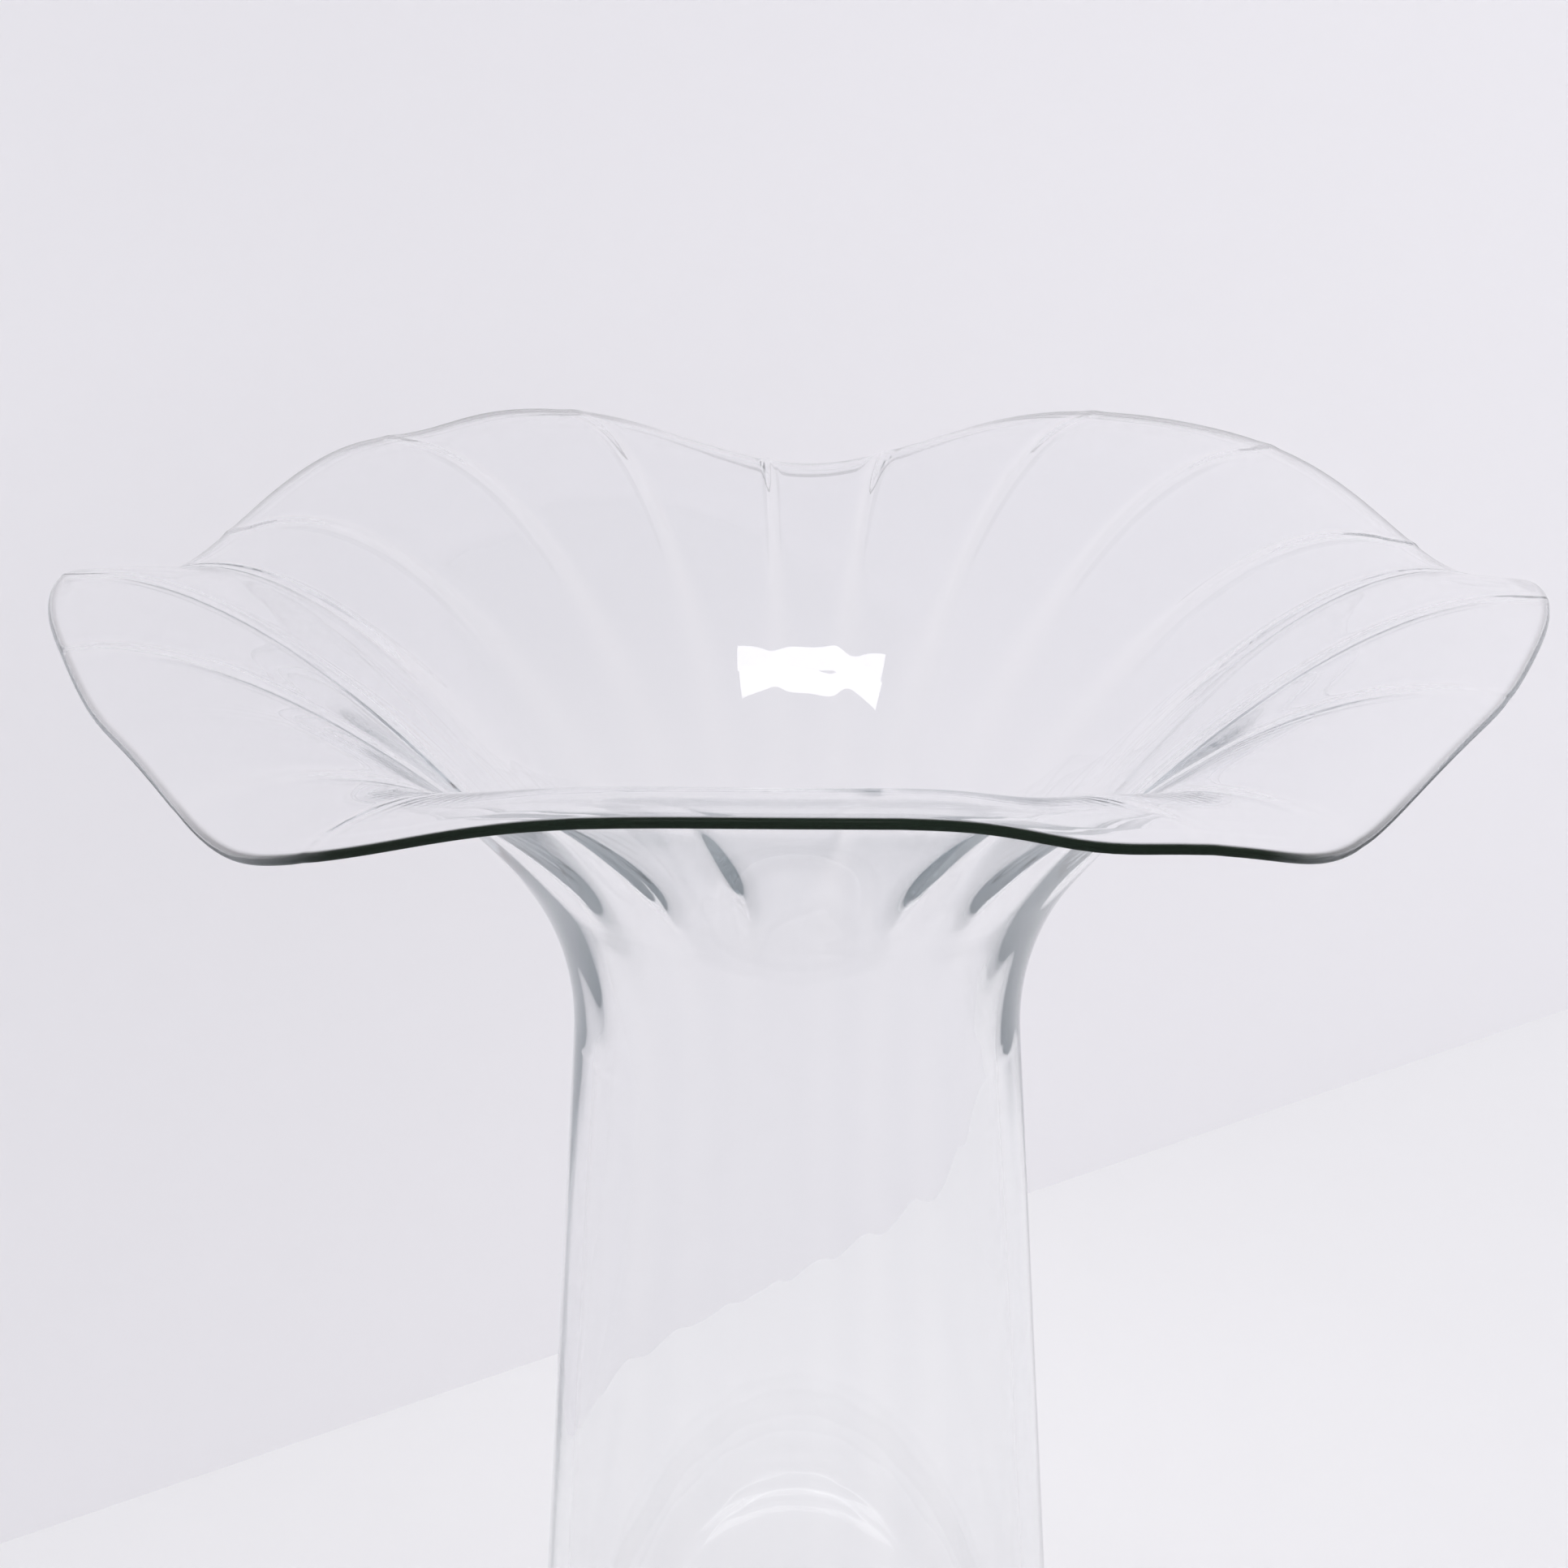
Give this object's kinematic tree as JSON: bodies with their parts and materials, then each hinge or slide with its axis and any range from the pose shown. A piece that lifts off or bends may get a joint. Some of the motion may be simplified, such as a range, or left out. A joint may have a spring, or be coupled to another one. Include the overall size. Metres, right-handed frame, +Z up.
{
  "type": "fan vase",
  "caption": "Clear ribbed glass fan vase with a heavy base, tapering body, waisted neck and a wide flared mouth crimped into soft ruffles, for holding cut flowers.",
  "frame": {"origin": "centre of the base, on the table that the vase stands on", "axes": "+Z up along the axis of the vase, -Y towards the picture's viewpoint, +X to its right"},
  "size_m": [0.201, 0.201, 0.2508],
  "materials": {
    "clear_glass": "fire-polished"
  },
  "bodies": {
    "root": {"base": "clear_glass", "body_wall": "clear_glass", "neck": "clear_glass", "fan_mouth": "clear_glass", "lip": "clear_glass"}
  },
  "joints": []
}
